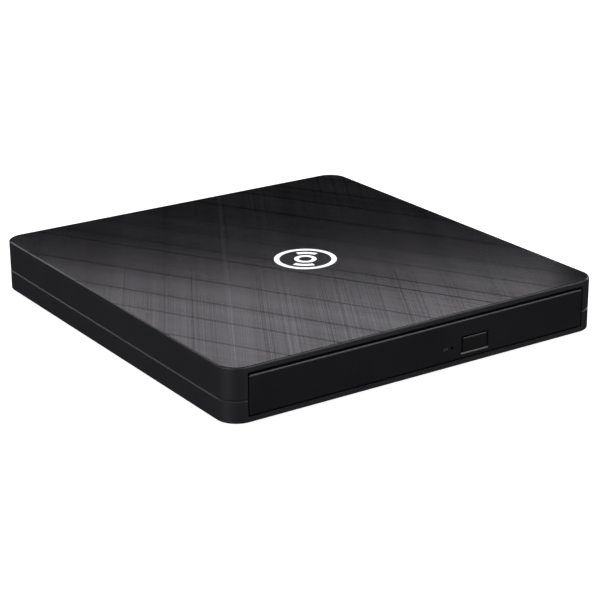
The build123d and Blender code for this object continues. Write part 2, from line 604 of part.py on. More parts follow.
def turntable():
    table = post(0, 0, 9.8, 10.1, 5.0) + post(0, 0, 10.1, 11.1, 14.8) + post(0, 0, 11.1, 13.0, HUB_R)
    table += Pos(0, 0, 13.6) * Cone(HUB_R, HUB_R - 0.9, 1.2)
    table -= post(0, 0, 9, 13.0, SHAFT_R)
    for turn in CLAW_TURNS:
        table -= Rot(0, 0, turn) * block(3.0, 9.0, -1.5, 1.5, 12.4, 15)
    return Pos(0, SPINDLE_Y, 0) * table


def turntable_ring():
    return Pos(0, SPINDLE_Y, 0) * (post(0, 0, 11.1, DISC_Z, 14.8) - post(0, 0, 11.1, DISC_Z, 12.2))


def hub_claw(turn):
    claw = block(4.2, 7.3, -1.3, 1.3, 12.5, 13.9) + block(7.0, 7.9, -1.3, 1.3, 13.0, 13.7)
    claw = chamfer(claw.edges().filter_by(Axis.Y).sort_by(Axis.X)[-2:], 0.3)
    return Pos(0, SPINDLE_Y, 0) * Rot(0, 0, turn) * claw


# ---------------------------------------------------------------- latch and pusher

def latch_lever():
    """Flat lever on the tray: tooth at the front, upright peg on the tail."""
    lever = block(LATCH_X - 1.3, LATCH_X + 1.3, -60.5, -43.2, 4.6, 5.5)
    lever += post(LATCH_X, LATCH_Y, 4.6, 5.5, 2.4)
    lever += block(LATCH_X - 1.3, LATCH_X + 2.1, -60.8, -59.0, 4.6, 5.5)
    lever -= post(LATCH_X, LATCH_Y, 4.5, 5.6, 0.95)
    return lever + post(LATCH_X, LATCH_Y + 6, 5.4, 7.3, 0.6)


def solenoid_coil():
    body = block(28, 38, LATCH_Y + 2.5, LATCH_Y + 9.5, 5.0, 9.2)
    return body - bar_x(27, 39, LATCH_Y + 6, 7.2, 1.1)


def solenoid_plunger():
    y = LATCH_Y + 6
    rod = bar_x(29.5, 42.6, y, 7.2, 1.0) + block(42.3, 45.6, y - 1.5, y + 1.5, 6.2, 8.2)
    return rod - block(LATCH_X - 0.72, LATCH_X + 0.72, y - 0.9, y + 0.9, 6, 8.5)


def eject_pusher():
    rod = bar_y(PUSHER_X, 38.5, 53.5, PUSHER_Z, 1.1) + bar_y(PUSHER_X, 37, 38.6, PUSHER_Z, 1.85)
    return rod + bar_y(PUSHER_X, 30, 37, PUSHER_Z, 0.8)


def pusher_spring():
    """The coil's outer shape; the wire itself is 0.3 mm."""
    return bar_y(PUSHER_X, 27.6, 36.9, PUSHER_Z, 1.75) - bar_y(PUSHER_X, 27, 37, PUSHER_Z, 1.2)


NODES = {
    "top_cover": top_cover,
    "bottom_cover": bottom_cover,
    "case_screws": case_screws,
    "bridge_board": bridge_board,
    "bridge_parts": bridge_parts,
    "bridge_screws": bridge_screws,
    "usb_port": usb_port,
    "sata_receptacle": sata_receptacle,
    "drive_pan": drive_pan,
    "drive_lid": drive_lid,
    "lid_screws": lid_screws,
    "guide_right": guide_strip,
    "guide_left": lambda: mirrored(guide_strip()),
    "rail_right": rail,
    "rail_left": lambda: mirrored(rail()),
    "latch_pin": latch_pin,
    "interface_board": interface_board,
    "sata_plug": sata_plug,
    "flex_cable": flex_cable,
    "tray": tray,
    "tray_rim": tray_rim,
    "tray_bezel": tray_bezel,
    "eject_button": eject_button,
    "led_lens": led_lens,
    "front_board": front_board,
    "front_board_parts": front_board_parts,
    "front_flex": front_flex,
    "tray_board": tray_board,
    "tray_board_parts": tray_board_parts,
    "traverse_frame": traverse_frame,
    "traverse_cover": traverse_cover,
    "damper_bushes": damper_bushes,
    "damper_screws": damper_screws,
    "guide_rod_main": lambda: guide_rod(MAIN_ROD_V),
    "guide_rod_slave": lambda: guide_rod(SLAVE_ROD_V),
    "lead_screw": lead_screw,
    "sled_motor": sled_motor,
    "pickup_carriage": pickup_carriage,
    "lens_holder": lens_holder,
    "objective_lens": objective_lens,
    "spindle_base": spindle_base,
    "spindle_bearing": spindle_bearing,
    "spindle_stator": spindle_stator,
    "spindle_shaft": spindle_shaft,
    "rotor_cup": rotor_cup,
    "rotor_magnet": rotor_magnet,
    "turntable": turntable,
    "turntable_ring": turntable_ring,
    "latch_lever": latch_lever,
    "solenoid_coil": solenoid_coil,
    "solenoid_plunger": solenoid_plunger,
    "eject_pusher": eject_pusher,
    "pusher_spring": pusher_spring,
}
for foot_name, (foot_x, foot_y) in FEET.items():
    NODES[foot_name] = lambda x=foot_x, y=foot_y: foot(x, y)
for number, claw_turn in enumerate(CLAW_TURNS, start=1):
    NODES[f"hub_claw_{number}"] = lambda turn=claw_turn: hub_claw(turn)

os.makedirs("parts", exist_ok=True)
for name, make in NODES.items():
    made = make()
    if isinstance(made, list):
        made = Compound(children=made)
    export_step(made, f"parts/{name}.step")
print(len(NODES), "nodes written")
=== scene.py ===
# %% [markdown]
# # A slim external disc drive
# The drive is a flat dark case, about as wide and deep as a disc box, with a tray that slides out of its
# front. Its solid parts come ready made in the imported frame, at their real size. This lesson gives them
# their finishes, and adds the small pieces that are easier to model than to build as solids: the printed
# mark, a coil spring, a screw thread, a ribbon cable, and the pickup's fine parts and floor.

# %% Load the frame
import json
from math import cos, hypot, pi, radians, sin

import bmesh
import bpy
from mathutils import Matrix, Vector

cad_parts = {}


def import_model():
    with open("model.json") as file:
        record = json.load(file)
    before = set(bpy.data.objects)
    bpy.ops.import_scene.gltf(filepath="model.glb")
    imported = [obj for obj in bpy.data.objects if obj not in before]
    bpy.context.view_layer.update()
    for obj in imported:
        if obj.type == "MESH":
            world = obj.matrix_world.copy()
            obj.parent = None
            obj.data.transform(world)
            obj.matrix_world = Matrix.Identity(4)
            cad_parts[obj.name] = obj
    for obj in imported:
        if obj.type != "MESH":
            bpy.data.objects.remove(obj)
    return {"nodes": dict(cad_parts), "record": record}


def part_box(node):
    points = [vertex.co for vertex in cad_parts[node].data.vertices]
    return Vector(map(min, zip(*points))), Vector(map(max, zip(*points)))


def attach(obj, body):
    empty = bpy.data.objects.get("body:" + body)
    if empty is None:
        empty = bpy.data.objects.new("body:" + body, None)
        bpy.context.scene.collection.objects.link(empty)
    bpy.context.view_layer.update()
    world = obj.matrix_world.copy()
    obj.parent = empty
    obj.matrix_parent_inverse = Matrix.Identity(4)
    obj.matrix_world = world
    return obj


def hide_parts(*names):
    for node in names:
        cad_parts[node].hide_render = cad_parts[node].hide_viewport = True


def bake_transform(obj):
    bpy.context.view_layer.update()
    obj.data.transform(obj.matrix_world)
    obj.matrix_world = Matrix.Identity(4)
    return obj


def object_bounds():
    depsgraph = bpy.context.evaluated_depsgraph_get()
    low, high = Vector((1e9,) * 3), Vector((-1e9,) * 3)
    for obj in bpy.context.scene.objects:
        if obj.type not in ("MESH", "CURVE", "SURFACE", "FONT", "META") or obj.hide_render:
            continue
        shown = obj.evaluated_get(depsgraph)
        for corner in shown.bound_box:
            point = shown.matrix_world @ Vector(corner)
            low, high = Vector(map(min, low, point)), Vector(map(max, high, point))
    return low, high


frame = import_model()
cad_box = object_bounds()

MM = 0.001
low, high = (Vector(corner) for corner in cad_box)
case_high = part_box("top_cover")[1]
print("case", [round(v / MM, 2) for v in (high - low)], "mm")

# %% [markdown]
# ## The camera
# A flat object is shown best with a long lens from a little above: its top is seen at a slant, and its
# edges stay nearly parallel. The camera could be placed by hand, but its turn, height and distance say
# more than a point in space does.

# %% Camera
CAMERA_TURN, CAMERA_HEIGHT, CAMERA_ROLL = -33.5, 19.57, -0.47  # degrees
CAMERA_DISTANCE, CAMERA_LENS = 0.6184, 109.2  # metres, millimetres
CAMERA_SHIFT = (0.0168, -0.0315)
SENSOR_WIDTH = 36  # millimetres

target = Vector((0, 0, (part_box("bottom_cover")[0].z + case_high.z) / 2))
turn, height = radians(CAMERA_TURN), radians(CAMERA_HEIGHT)
outward = Vector((sin(turn) * cos(height), -cos(turn) * cos(height), sin(height)))
camera = bpy.data.objects.new("camera", bpy.data.cameras.new("camera"))
camera.data.lens = CAMERA_LENS
camera.data.sensor_width = SENSOR_WIDTH
camera.data.shift_x, camera.data.shift_y = CAMERA_SHIFT
roll = Matrix.Rotation(radians(CAMERA_ROLL), 4, "Z")
upright = outward.to_track_quat("Z", "Y").to_matrix().to_4x4()
camera.matrix_world = Matrix.Translation(target + outward * CAMERA_DISTANCE) @ upright @ roll
bpy.context.scene.collection.objects.link(camera)
bpy.context.scene.camera = camera
print("camera at", [round(v, 3) for v in camera.location])

# %% [markdown]
# ## Light and floor
# A black object shows hardly any colour of its own: what is seen is the reflection of the lights. A low
# panel behind the case is mirrored in the top and fades from the front edge to the back corner, because
# the mirrored view passes lower, and at last under the panel, as the eye moves back. Wide soft lights all
# round fill in the sides and rims. The floor glows white, but it is only a backdrop: it is kept out of
# reflections and doesn't light the drive.

# %% Floor
def floor_paint(glow, colour):
    """A pale matt floor that glows."""
    material = bpy.data.materials.new("floor_paint")
    material.use_nodes = True
    shader = material.node_tree.nodes["Principled BSDF"]
    shader.inputs["Base Color"].default_value = (*colour, 1)
    shader.inputs["Roughness"].default_value = 0.9
    shader.inputs["Specular IOR Level"].default_value = 0.0
    shader.inputs["Emission Color"].default_value = (1, 1, 1, 1)
    shader.inputs["Emission Strength"].default_value = glow
    return material


FLOOR_SIZE = 12.0  # metres
FLOOR_GAP = 0.02 * MM
FLOOR_GLOW, FLOOR_GREY = 0.90, 0.40
sheet = bmesh.new()
bmesh.ops.create_grid(sheet, x_segments=1, y_segments=1, size=FLOOR_SIZE / 2)
bmesh.ops.translate(sheet, verts=sheet.verts, vec=(0, 0, low.z - FLOOR_GAP))
floor_mesh = bpy.data.meshes.new("floor")
sheet.to_mesh(floor_mesh)
sheet.free()
floor = bpy.data.objects.new("floor", floor_mesh)
floor.data.materials.append(floor_paint(FLOOR_GLOW, (FLOOR_GREY, FLOOR_GREY, FLOOR_GREY)))
floor.visible_glossy = False
floor.visible_diffuse = False
bpy.context.scene.collection.objects.link(floor)

# %% Lights
def panel(name, place, aim, width, depth, watts):
    """A rectangular soft light that points at aim and isn't itself in the picture."""
    light = bpy.data.lights.new(name, "AREA")
    light.shape = "RECTANGLE"
    light.size, light.size_y = width, depth
    light.energy = watts
    stand = bpy.data.objects.new(name, light)
    stand.location = place
    stand.rotation_euler = (Vector(place) - Vector(aim)).to_track_quat("Z", "Y").to_euler()
    stand.visible_camera = False
    bpy.context.scene.collection.objects.link(stand)
    return stand


away = Vector((-sin(turn), cos(turn), 0))  # from the camera, level, past the case
across_view = Vector((cos(turn), sin(turn), 0))
middle = Vector((0, 0, case_high.z))
SOFT_LIGHTS = {  # place, width and depth in metres, then watts
    "overhead": ((-0.40, -0.10, 1.25), 0.8, 0.8, 4.5),
    "left_fill": ((-1.1, -0.3, 0.30), 0.7, 0.5, 9.0),
    "front_fill": ((0.5, -1.2, 0.35), 0.7, 0.5, 6.0),
    "right_fill": ((1.1, 0.4, 0.35), 0.7, 0.5, 5.0),
    "rim_left": ((-0.40, 0.95, 0.63), 0.9, 0.7, 3.5),
    "rim_front": ((0.62, -0.40, 0.95), 0.7, 0.6, 9.0),
}
for light_name, (light_place, *size_and_watts) in SOFT_LIGHTS.items():
    panel(light_name, light_place, middle, *size_and_watts)

BACK_AWAY, BACK_LEFT, BACK_HIGH = 0.125, 0.105, 0.088  # metres from the middle of the top
BACK_AIM_NEAR, BACK_AIM_LOW = 0.85, 0.52  # metres from the panel to the point that it faces
BACK_SIZE, BACK_WATTS = (0.435, 0.06), 0.20
BACK_COLOUR = (1.0, 0.965, 1.03)
back_place = middle + away * BACK_AWAY - across_view * BACK_LEFT + Vector((0, 0, BACK_HIGH))
back_aim = back_place - away * BACK_AIM_NEAR - Vector((0, 0, BACK_AIM_LOW))
back = panel("back_panel", back_place, back_aim, *BACK_SIZE, BACK_WATTS)
back.data.color = BACK_COLOUR

world = bpy.data.worlds.new("studio")
world.use_nodes = True
bpy.context.scene.world = world
links, nodes = world.node_tree.links, world.node_tree.nodes
nodes.clear()
WALL_SEEN, WALL_LIGHT = 1.0, 0.025  # how bright the wall looks, and how much light it gives
seen = nodes.new("ShaderNodeBackground")
seen.inputs["Strength"].default_value = WALL_SEEN
felt = nodes.new("ShaderNodeBackground")
felt.inputs["Strength"].default_value = WALL_LIGHT
choose = nodes.new("ShaderNodeMixShader")
rays = nodes.new("ShaderNodeLightPath")
links.new(rays.outputs["Is Camera Ray"], choose.inputs["Fac"])
links.new(felt.outputs[0], choose.inputs[1])
links.new(seen.outputs[0], choose.inputs[2])
links.new(choose.outputs[0], nodes.new("ShaderNodeOutputWorld").inputs["Surface"])
for background in (seen, felt):
    background.inputs["Color"].default_value = (1, 1, 1, 1)
bpy.context.scene.view_settings.view_transform = "Standard"
bpy.context.scene.view_settings.look = "None"

# %% [markdown]
# ## Writing a finish as sums
# Every finish is a small program: grain, scratches and stains are numbers worked out from where a point
# lies. Wiring Math nodes by hand hides that, so one class wraps a socket and lets Python's operators add
# the nodes. A second class holds one material and makes every other node with a single method.

# %% The socket class
class Value:
    """One socket of a finish. Sums on it add Math nodes to the finish."""

    def __init__(self, finish, socket):
        self.finish, self.socket = finish, socket

    def maths(self, operation, *terms):
        return self.finish.node("ShaderNodeMath", {"operation": operation}, dict(enumerate(terms)))

    def __add__(self, other):
        return self.maths("ADD", self, other)

    def __sub__(self, other):
        return self.maths("SUBTRACT", self, other)

    def __rsub__(self, other):
        return self.maths("SUBTRACT", other, self)

    def __mul__(self, other):
        return self.maths("MULTIPLY", self, other)

    def __truediv__(self, other):
        return self.maths("DIVIDE", self, other)

    def __mod__(self, other):
        return self.maths("FLOORED_MODULO", self, other)

    def __gt__(self, other):
        return self.maths("GREATER_THAN", self, other)

    def __lt__(self, other):
        return self.maths("LESS_THAN", self, other)

    def __abs__(self):
        return self.maths("ABSOLUTE", self)

    __radd__ = __add__
    __rmul__ = __mul__

    def ramp(self, start, end):
        """0 below start, 1 above end, and smooth between them."""
        settings = {"interpolation_type": "SMOOTHSTEP", "clamp": True}
        return self.finish.node("ShaderNodeMapRange", settings, {0: self, 1: start, 2: end, 3: 0.0, 4: 1.0})


# %% The finish class
class Finish:
    """One procedural material. Lengths in it are metres, read from the piece's own coordinates."""

    def __init__(self, name):
        self.material = bpy.data.materials.new(name)
        self.material.use_nodes = True
        self.tree = self.material.node_tree
        self.tree.nodes.clear()
        self.point = self.node("ShaderNodeTexCoord", output="Object")
        parts = self.node("ShaderNodeSeparateXYZ", {}, {0: self.point})
        self.x, self.y, self.z = (Value(self, socket) for socket in parts.socket.node.outputs)

    def node(self, kind, settings=None, inputs=None, output=0):
        made = self.tree.nodes.new(kind)
        for key, setting in (settings or {}).items():
            setattr(made, key, setting)
        for key, given in (inputs or {}).items():
            socket = made.inputs[key]
            if isinstance(given, Value):
                self.tree.links.new(given.socket, socket)
            else:
                socket.default_value = given
        return Value(self, made.outputs[output])

    def noise(self, size, detail=2.0):
        """Soft noise from 0 to 1, with features of about that size."""
        inputs = {"Vector": self.point, "Scale": 1 / size, "Detail": detail}
        return self.node("ShaderNodeTexNoise", {}, inputs)

    def streaks(self, across, along, width, length, detail=2.0):
        """Noise drawn out into streaks that are width across and length along."""
        at = self.node("ShaderNodeCombineXYZ", {}, {0: across / width, 1: along / length, 2: 0.0})
        inputs = {"Vector": at, "Scale": 1.0, "Detail": detail}
        return self.node("ShaderNodeTexNoise", {"noise_dimensions": "2D"}, inputs)

    def bands(self, across, width):
        """Noise that changes in one direction only."""
        inputs = {"W": across / width, "Scale": 1.0, "Detail": 1.0}
        return self.node("ShaderNodeTexNoise", {"noise_dimensions": "1D"}, inputs)

    def lines(self, across, spacing, width, least=0.0):
        """Thin lines at irregular places, each with a strength of its own from least to 1."""
        inputs = {"W": across / spacing, "Scale": 1.0}
        cells = self.node("ShaderNodeTexVoronoi", {"voronoi_dimensions": "1D"}, inputs)
        colour = Value(self, cells.socket.node.outputs["Color"])
        strength = self.node("ShaderNodeSeparateColor", {}, {0: colour})
        core, rim = 0.2 * width / spacing, 0.5 * width / spacing
        return (1 - cells.ramp(core, rim)) * (strength * (1 - least) + least)

    def cells(self, size):
        """Distance to the nearest of the points strewn about that far apart, from 0 to about 1."""
        return self.node("ShaderNodeTexVoronoi", {}, {"Vector": self.point, "Scale": 1 / size})

    def blend(self, share, first, second):
        """first where share is 0 and second where it is 1: colours."""
        colour_a, colour_b, colour_out = 6, 7, 2  # the Mix node's colour sockets
        start = first if isinstance(first, Value) else (*first, 1)
        inputs = {0: share, colour_a: start, colour_b: (*second, 1)}
        return self.node("ShaderNodeMix", {"data_type": "RGBA"}, inputs, output=colour_out)

    def tint(self, colour, tone):
        """A colour made lighter or darker by a number that varies about 1."""
        return self.node("ShaderNodeVectorMath", {"operation": "SCALE"}, {0: colour, "Scale": tone})

    def bump(self, height_in_metres):
        inputs = {"Strength": 1.0, "Distance": 1.0, "Height": height_in_metres}
        return self.node("ShaderNodeBump", {}, inputs)

    def surface(self, **inputs):
        """A Principled shader. Names have _ for a space, and ior for IOR."""
        names = {key.replace("_", " ").replace("ior", "IOR"): value for key, value in inputs.items()}
        return self.node("ShaderNodeBsdfPrincipled", {}, names)

    def done(self, shader):
        output = self.tree.nodes.new("ShaderNodeOutputMaterial")
        self.tree.links.new(shader.socket, output.inputs["Surface"])
        return self.material


FINISHES = {}


def finish_for(slot):
    """Files the material that the decorated function makes under its slot."""
    def file(make):
        FINISHES[slot] = make(Finish(slot))
        return make
    return file


# %% [markdown]
# ## The printed top
# The lid of the case carries a film of very fine hairlines, drawn in two directions that cross like a
# weave. Painting lines on a picture would lock their size. Here each direction is a stack of streaks and
# thin lines worked out from the distance across it, so the print stays sharp from any distance. The film
# is black with a sheen. It is a mix of a dull black metal and a clear gloss, and the print's tone decides
# how much of each there is: more gloss where it is light, more metal where it is dark.

# %% Hairline print
PRINT = (  # degrees from the front edge, strengths of grain, hairlines and dark lines, the dark lines'
    # width, then strengths of bands and light lines
    (60.0, 0.55, 0.50, 0.18, 0.45 * MM, 0.42, 0.18),
    (-60.0, 0.44, 0.24, 0.60, 1.4 * MM, 0.46, 0.0),
)
GRAIN_WIDTH, GRAIN_LENGTH = 0.24 * MM, 240 * MM
GROUP_WIDTH, BAND_WIDTH = 7 * MM, 12 * MM
FADE_WIDTH, FADE_LENGTH = 3.0 * MM, 70 * MM
HAIR_SPACING, HAIR_WIDTH = 1.3 * MM, 0.26 * MM
DARK_SPACING, DARK_LEAST = 15 * MM, 0.4
LIGHT_SPACING, LIGHT_WIDTH = 21 * MM, 2.2 * MM
DARK_SHIFT, LIGHT_SHIFT = 0.4, 0.9  # metres along the noise, so that the sets don't fall together


def hairlines(finish):
    """How bright the print is: about 1, lower on its dark lines, higher on its light ones."""
    tone = 1.0
    for angle, fine, hair, dark, dark_width, wide, light in PRINT:
        cosine, sine = cos(radians(angle)), sin(radians(angle))
        across = finish.y * cosine - finish.x * sine
        along = finish.x * cosine + finish.y * sine
        groups = finish.bands(across, GROUP_WIDTH).ramp(0.42, 0.60)
        fading = finish.streaks(across, along, FADE_WIDTH, FADE_LENGTH, 1.0).ramp(0.30, 0.62)
        grain = finish.streaks(across, along, GRAIN_WIDTH, GRAIN_LENGTH, 0.0) - 0.5
        hairs = finish.lines(across, HAIR_SPACING, HAIR_WIDTH)
        darks = finish.lines(across + DARK_SHIFT, DARK_SPACING, dark_width, DARK_LEAST)
        tone = tone + grain * (groups * 0.8 + 0.6) * fine
        tone = tone + (finish.bands(across, BAND_WIDTH) - 0.5) * wide
        tone = tone - hairs * (groups * 0.75 + 0.25) * fading * hair
        tone = tone - darks * dark
        if light:
            tone = tone + finish.lines(across + LIGHT_SHIFT, LIGHT_SPACING, LIGHT_WIDTH) * light
    return tone


def moulded(finish, colour, roughness, grain, depth, specular):
    """Moulded plastic: a fine even grain and faint flow marks."""
    pits = finish.noise(grain, 3.0)
    flow = finish.noise(14 * MM, 2.0)
    tone = 1 + (flow - 0.5) * 0.25 + (pits - 0.5) * 0.18
    return finish.surface(
        Base_Color=finish.tint(colour, tone),
        Roughness=(pits - 0.5) * 0.16 + (flow - 0.5) * 0.12 + roughness,
        Specular_ior_Level=specular,
        Normal=finish.bump(pits * depth),
    )


CASE_SIDE = ((0.0120, 0.0122, 0.0150), 0.50, 0.16 * MM, 0.006 * MM, 0.35)
FILM_SHARE = 0.55  # how much of the film is gloss where the print's tone is 1
FILM_COLOUR, FILM_DARKEST = (0.0085, 0.0080, 0.0090), 0.1
FILM_EDGE = (0.43, 0.43, 0.43, 1)  # what the metal mirrors at a grazing view
FILM_ROUGHNESS, FILM_RELIEF, FILM_DEPTH = 0.23, 0.0004 * MM, 0.12 * MM


@finish_for("case_plastic")
def case_plastic(finish):
    side = moulded(finish, *CASE_SIDE)
    tone = hairlines(finish)
    scuffs = finish.noise(9 * MM, 4.0)
    shine = finish.node("ShaderNodeClamp", {}, {0: tone * FILM_SHARE})
    film = finish.surface(
        Base_Color=finish.tint(FILM_COLOUR, tone.maths("MAXIMUM", tone, FILM_DARKEST)),
        Metallic=1 - shine,
        Specular_Tint=FILM_EDGE,
        Roughness=(scuffs - 0.5) * 0.03 + FILM_ROUGHNESS,
        Normal=finish.bump(tone * FILM_RELIEF),
    )
    on_top = finish.z > case_high.z - FILM_DEPTH
    return finish.done(finish.node("ShaderNodeMixShader", {}, {0: on_top, 1: side, 2: film}))


# %% [markdown]
# ## Plastics and rubbers
# The bezel and button are smoother than the case, so their edges catch the light as thin lines. Most
# parts inside the drive have a coarser grain. Rubber is rough and slightly dusty. One function makes all
# the moulded ones, because they differ only in colour, gloss and grain.

# %% Moulded finishes
MOULDED = {  # colour, roughness, size and depth of the grain, and specular level
    "bezel_plastic": ((0.0100, 0.0100, 0.0118), 0.34, 0.10 * MM, 0.002 * MM, 0.30),
    "button_plastic": ((0.0094, 0.0094, 0.0105), 0.32, 0.10 * MM, 0.002 * MM, 0.30),
    "tray_plastic": ((0.013, 0.013, 0.014), 0.46, 0.22 * MM, 0.010 * MM, 0.35),
    "dark_plastic": ((0.020, 0.020, 0.022), 0.42, 0.20 * MM, 0.006 * MM, 0.40),
    "connector": ((0.022, 0.022, 0.023), 0.40, 0.18 * MM, 0.004 * MM, 0.40),
    "connector_pale": ((0.62, 0.59, 0.50), 0.45, 0.18 * MM, 0.004 * MM, 0.45),
    "guide_plastic": ((0.70, 0.68, 0.63), 0.38, 0.25 * MM, 0.004 * MM, 0.45),
    "chip": ((0.016, 0.016, 0.017), 0.55, 0.12 * MM, 0.005 * MM, 0.40),
}
for slot_name, recipe in MOULDED.items():
    plastic = Finish(slot_name)
    FINISHES[slot_name] = plastic.done(moulded(plastic, *recipe))


def rubber(finish, colour):
    """Rubber: rough, faintly dusty in patches, with a skin of tiny pits."""
    pits = finish.noise(0.3 * MM, 4.0)
    dust = finish.noise(2.5 * MM, 3.0).ramp(0.50, 0.72)
    return finish.surface(
        Base_Color=finish.blend(dust * 0.35, colour, (0.07, 0.068, 0.064)),
        Roughness=(pits - 0.5) * 0.1 + 0.86,
        Specular_ior_Level=0.25,
        Sheen_Weight=0.08,
        Normal=finish.bump(pits * (0.02 * MM)),
    )


for slot_name, shade in (("foot_rubber", 0.016), ("damper_rubber", 0.03), ("ring_rubber", 0.018)):
    elastic = Finish(slot_name)
    FINISHES[slot_name] = elastic.done(rubber(elastic, (shade, shade, shade)))

# %% [markdown]
# ## Metals
# The drive's shells are thin steel sheet with rolling marks along their length. Rails are ground, rods are
# polished, and the screws are blackened. Steel and brass are full metals: what tells them apart, besides
# colour, is the size of their scratches, so the scratches are streaks laid one way. The cast carriage, the
# magnets and the copper coils are partly dull, so they are less than full metals.

# %% Metal finishes
def worked_metal(finish, colour, roughness, across, along, width, length):
    """Metal with fine marks that all run one way, and faint stains."""
    marks = finish.streaks(across, along, width, length, 3.0)
    stains = finish.noise(12 * MM, 3.0)
    tone = 1 + (marks - 0.5) * 0.25 + (stains - 0.5) * 0.18
    return finish.surface(
        Base_Color=finish.tint(colour, tone),
        Metallic=1.0,
        Roughness=(marks - 0.5) * 0.20 + (stains - 0.5) * 0.15 + roughness,
        Normal=finish.bump(marks * (0.002 * MM)),
    )


METALS = {  # colour, roughness, and width and length of the marks
    "bright_steel": ((0.56, 0.56, 0.57), 0.32, 0.30 * MM, 40 * MM),
    "rail_steel": ((0.50, 0.50, 0.51), 0.24, 0.12 * MM, 60 * MM),
    "rod_steel": ((0.68, 0.68, 0.69), 0.12, 0.20 * MM, 20 * MM),
    "brass": ((0.66, 0.47, 0.20), 0.24, 0.10 * MM, 6 * MM),
    "screw_steel": ((0.060, 0.060, 0.064), 0.34, 0.15 * MM, 2 * MM),
}
for slot_name, (shade, gloss, mark_width, mark_length) in METALS.items():
    metal = Finish(slot_name)
    worked = worked_metal(metal, shade, gloss, metal.x + metal.z, metal.y, mark_width, mark_length)
    FINISHES[slot_name] = metal.done(worked)


@finish_for("zinc")
def zinc(finish):
    skin = finish.cells(0.5 * MM)
    cloud = finish.noise(3 * MM, 4.0)
    return finish.done(finish.surface(
        Base_Color=finish.tint((0.36, 0.36, 0.355), 1 + (skin - 0.4) * 0.25 + (cloud - 0.5) * 0.35),
        Metallic=0.9,
        Roughness=(cloud - 0.5) * 0.25 + 0.45,
        Normal=finish.bump(skin * (0.015 * MM)),
    ))


@finish_for("magnet")
def magnet(finish):
    grit = finish.noise(0.15 * MM, 3.0)
    return finish.done(finish.surface(
        Base_Color=finish.tint((0.09, 0.09, 0.10), 1 + (grit - 0.5) * 0.4),
        Metallic=0.6,
        Roughness=(grit - 0.5) * 0.2 + 0.42,
        Normal=finish.bump(grit * (0.006 * MM)),
    ))


@finish_for("copper")
def copper(finish):
    # Across each winding the colour darkens towards the valleys between windings: painted shade, on top of
    # a real bump and rougher valleys.
    wire_valleys_and_shade = abs(((finish.z + finish.noise(4 * MM) * (0.05 * MM)) % (0.14 * MM)) / (0.07 * MM) - 1)
    return finish.done(finish.surface(
        # The second colour is the painted shade in those valleys.
        Base_Color=finish.blend(wire_valleys_and_shade, (0.62, 0.24, 0.09), (0.20, 0.06, 0.02)),
        Metallic=0.85,
        Roughness=wire_valleys_and_shade * 0.15 + 0.22,
        Coat_Weight=0.4,
        Normal=finish.bump((1 - wire_valleys_and_shade) * (0.03 * MM)),
    ))


# %% [markdown]
# ## Boards, film, lens and lamp
# A circuit board is green lacquer over copper tracks, which show as a slightly raised, lighter net. The
# ribbon cables are amber film with copper strips along them. The lens is clear with a violet tint and a
# glossy coat, and the lamp's window is smoky plastic.

# %% Electrical and optical finishes
@finish_for("board")
def board(finish):
    def tracks(line, other, pitch):
        """Tracks side by side, broken where the noise along them is low."""
        stripe = 1 - abs((line % pitch) / (pitch / 2) - 1).ramp(0.28, 0.48)
        return stripe * finish.streaks(line, other, pitch, 9 * MM).ramp(0.50, 0.54)

    copper_net = tracks(finish.x, finish.y, 0.55 * MM)
    copper_net = copper_net.maths("MAXIMUM", copper_net, tracks(finish.y, finish.x, 0.60 * MM))
    vias = 1 - finish.cells(2.4 * MM).ramp(0.10, 0.16)
    lacquer = finish.blend(copper_net * 0.75, (0.008, 0.060, 0.022), (0.020, 0.135, 0.045))
    return finish.done(finish.surface(
        Base_Color=finish.blend(vias, lacquer, (0.42, 0.37, 0.24)),
        Metallic=vias * 0.8,
        Roughness=finish.noise(3 * MM) * 0.12 + 0.26,
        Coat_Weight=0.25,
        Normal=finish.bump((copper_net + vias) * (0.02 * MM)),
    ))


@finish_for("film")
def film(finish):
    strips = abs((finish.x % (0.7 * MM)) / (0.35 * MM) - 1).ramp(0.40, 0.60)
    wrinkle = finish.noise(6 * MM, 2.0)
    return finish.done(finish.surface(
        Base_Color=finish.blend(strips, (0.36, 0.12, 0.015), (0.62, 0.30, 0.09)),
        Metallic=strips * 0.5,
        Roughness=(wrinkle - 0.5) * 0.15 + 0.28,
        Coat_Weight=0.3,
        Normal=finish.bump(strips * (0.012 * MM) + wrinkle * (0.05 * MM)),
    ))


@finish_for("lens")
def lens(finish):
    haze = finish.noise(0.6 * MM)
    return finish.done(finish.surface(
        Base_Color=finish.blend(haze, (0.30, 0.36, 0.62), (0.42, 0.40, 0.66)),
        Roughness=haze * 0.03 + 0.03,
        Transmission_Weight=0.85,
        Coat_Weight=1.0,
        ior=1.53,
    ))


@finish_for("led")
def led(finish):
    haze = finish.noise(0.3 * MM)
    return finish.done(finish.surface(
        Base_Color=finish.tint((0.030, 0.034, 0.036), 1 + (haze - 0.5) * 0.4),
        Roughness=haze * 0.1 + 0.22,
        Coat_Weight=0.3,
    ))


@finish_for("white_print")
def white_print(finish):
    ink = finish.noise(0.12 * MM, 3.0)
    return finish.done(finish.surface(
        Base_Color=finish.tint((0.90, 0.90, 0.90), 1 + (ink - 0.5) * 0.08),
        Roughness=ink * 0.1 + 0.45,
        Normal=finish.bump(ink * (0.004 * MM)),
    ))


# %% Give every solid part its finish
slot_of = {part["node"]: part["material_slot"] for part in frame["record"]["subparts"]}
for node_name, part in frame["nodes"].items():
    finish_made = FINISHES[slot_of[node_name]]
    for place in part.material_slots:
        place.material = finish_made
print(len(slot_of), "parts in", len(set(slot_of.values())), "finishes")

# %% [markdown]
# ## The mark on the lid
# A white sign is printed where such a drive has a sign of its own. This one is a plain disc: a ring, its
# hub, and two arcs like the glint on a disc. Each is a thin solid, made by turning a small rectangle about
# the centre, because spinning a profile gives clean round edges with few faces.

